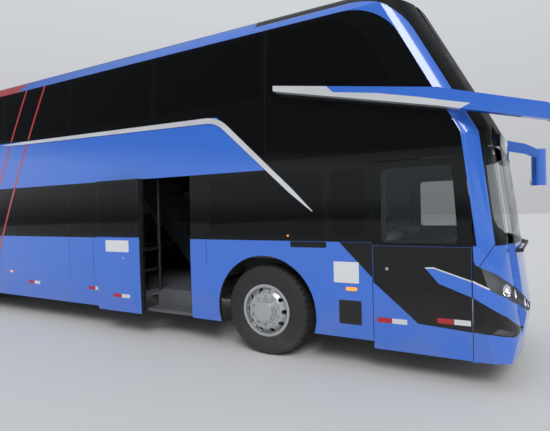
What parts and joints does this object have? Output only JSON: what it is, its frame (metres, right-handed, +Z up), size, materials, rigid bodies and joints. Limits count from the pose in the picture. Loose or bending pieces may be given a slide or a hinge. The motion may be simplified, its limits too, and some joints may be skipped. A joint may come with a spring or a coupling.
{
  "type": "double-deck intercity coach",
  "caption": "Double-deck intercity coach on three axles with twin drive wheels, leaning front, open passenger door, crew door and lifting lids.",
  "frame": {"origin": "on the ground under the middle of the coach", "axes": "+X forward, +Y to the coach's left, +Z up"},
  "size_m": [14.2999, 2.9598, 4.1],
  "materials": {
    "frame_black": "semi-gloss",
    "engine_grey": "rough",
    "floor_grey": "ribbed",
    "dash_plastic": "satin",
    "seat_fabric": "woven",
    "body_blue": "gloss",
    "dark_glass": "polished",
    "hatch_grey": "gloss",
    "lamp_clear": "polished",
    "lamp_red": "gloss",
    "trim_metal": "brushed",
    "black_steel": "satin",
    "rim_steel": "silver",
    "tyre": "matte"
  },
  "bodies": {
    "coach": {"chassis": "frame_black", "front_beam": "frame_black", "rear_axles": "frame_black", "engine": "engine_grey", "lower_deck": "floor_grey", "upper_floor": "floor_grey", "dashboard": "dash_plastic", "lower_seats": "seat_fabric", "upper_seats": "seat_fabric", "wall_right": "body_blue", "wall_left": "body_blue", "glass_right": "dark_glass", "glass_left": "dark_glass", "roof": "body_blue", "roof_unit": "hatch_grey", "front_hoop": "body_blue", "front_mask": "body_blue", "front_glass": "dark_glass", "rear_mask": "body_blue", "headlamps": "lamp_clear", "tail_lamps": "lamp_red", "trims": "trim_metal", "mirrors": "body_blue", "wipers": "black_steel"},
    "knuckle_left": {"knuckle_left": "frame_black"},
    "front_wheel_left": {"front_rim_left": "rim_steel", "front_tyre_left": "tyre"},
    "drive_wheel_left": {"drive_rim_left": "rim_steel", "drive_tyre_left": "tyre"},
    "tag_wheel_left": {"tag_rim_left": "rim_steel", "tag_tyre_left": "tyre"},
    "luggage_flap_left": {"flap_left": "body_blue"},
    "knuckle_right": {"knuckle_right": "frame_black"},
    "front_wheel_right": {"front_rim_right": "rim_steel", "front_tyre_right": "tyre"},
    "drive_wheel_right": {"drive_rim_right": "rim_steel", "drive_tyre_right": "tyre"},
    "tag_wheel_right": {"tag_rim_right": "rim_steel", "tag_tyre_right": "tyre"},
    "luggage_flap_right": {"flap_right": "body_blue"},
    "door_arm": {"entrance_arm": "black_steel"},
    "passenger_door": {"entrance_door": "body_blue", "entrance_glass": "dark_glass"},
    "crew_door": {"cab_door": "body_blue", "cab_glass": "dark_glass"},
    "engine_cover": {"engine_lid": "body_blue"}
  },
  "joints": [
    {"name": "steer_left", "type": "hinge", "parent": "coach", "child": "knuckle_left", "pos_m": [4.15, 0.915, 0.522], "axis": [0, 0, 1], "range_deg": [-40, 40]},
    {"name": "front_spin_left", "type": "hinge", "parent": "knuckle_left", "child": "front_wheel_left", "pos_m": [4.15, 1.12, 0.522], "axis": [0, 1, 0], "continuous": true},
    {"name": "drive_spin_left", "type": "hinge", "parent": "coach", "child": "drive_wheel_left", "pos_m": [-2.8, 1.11, 0.522], "axis": [0, 1, 0], "continuous": true},
    {"name": "tag_spin_left", "type": "hinge", "parent": "coach", "child": "tag_wheel_left", "pos_m": [-4.15, 1.12, 0.522], "axis": [0, 1, 0], "continuous": true},
    {"name": "steer_right", "type": "hinge", "parent": "coach", "child": "knuckle_right", "pos_m": [4.15, -0.915, 0.522], "axis": [0, 0, 1], "range_deg": [-40, 40]},
    {"name": "front_spin_right", "type": "hinge", "parent": "knuckle_right", "child": "front_wheel_right", "pos_m": [4.15, -1.12, 0.522], "axis": [0, 1, 0], "continuous": true},
    {"name": "drive_spin_right", "type": "hinge", "parent": "coach", "child": "drive_wheel_right", "pos_m": [-2.8, -1.11, 0.522], "axis": [0, 1, 0], "continuous": true},
    {"name": "tag_spin_right", "type": "hinge", "parent": "coach", "child": "tag_wheel_right", "pos_m": [-4.15, -1.12, 0.522], "axis": [0, 1, 0], "continuous": true},
    {"name": "door_arm_swing", "type": "hinge", "parent": "coach", "child": "door_arm", "pos_m": [2.30029, -1.01295, 1.1], "axis": [0, 0, 1], "range_deg": [0, 111.13]},
    {"name": "door_pin_turn", "type": "hinge", "parent": "door_arm", "child": "passenger_door", "pos_m": [1.986, -1.335, 1.1], "axis": [0, 0, 1], "range_deg": [-111.13, 0]},
    {"name": "crew_door_swing", "type": "hinge", "parent": "coach", "child": "crew_door", "pos_m": [6.32, -1.3, 1.2], "axis": [0, 0, 1], "range_deg": [0, 80]},
    {"name": "flap_lift_left", "type": "hinge", "parent": "coach", "child": "luggage_flap_left", "pos_m": [-2.835, 1.28927, 2.105], "axis": [1, 0, 0], "range_deg": [0, 100]},
    {"name": "flap_lift_right", "type": "hinge", "parent": "coach", "child": "luggage_flap_right", "pos_m": [-2.835, -1.28927, 2.105], "axis": [-1, 0, 0], "range_deg": [0, 100]},
    {"name": "engine_lid_lift", "type": "hinge", "parent": "coach", "child": "engine_cover", "pos_m": [-7.08848, 0, 1.744], "axis": [0, 1, 0], "range_deg": [0, 75]}
  ],
  "couplings": [
    {"joint": "steer_right", "follows": "steer_left", "ratio": 1},
    {"joint": "door_pin_turn", "follows": "door_arm_swing", "ratio": -1}
  ]
}
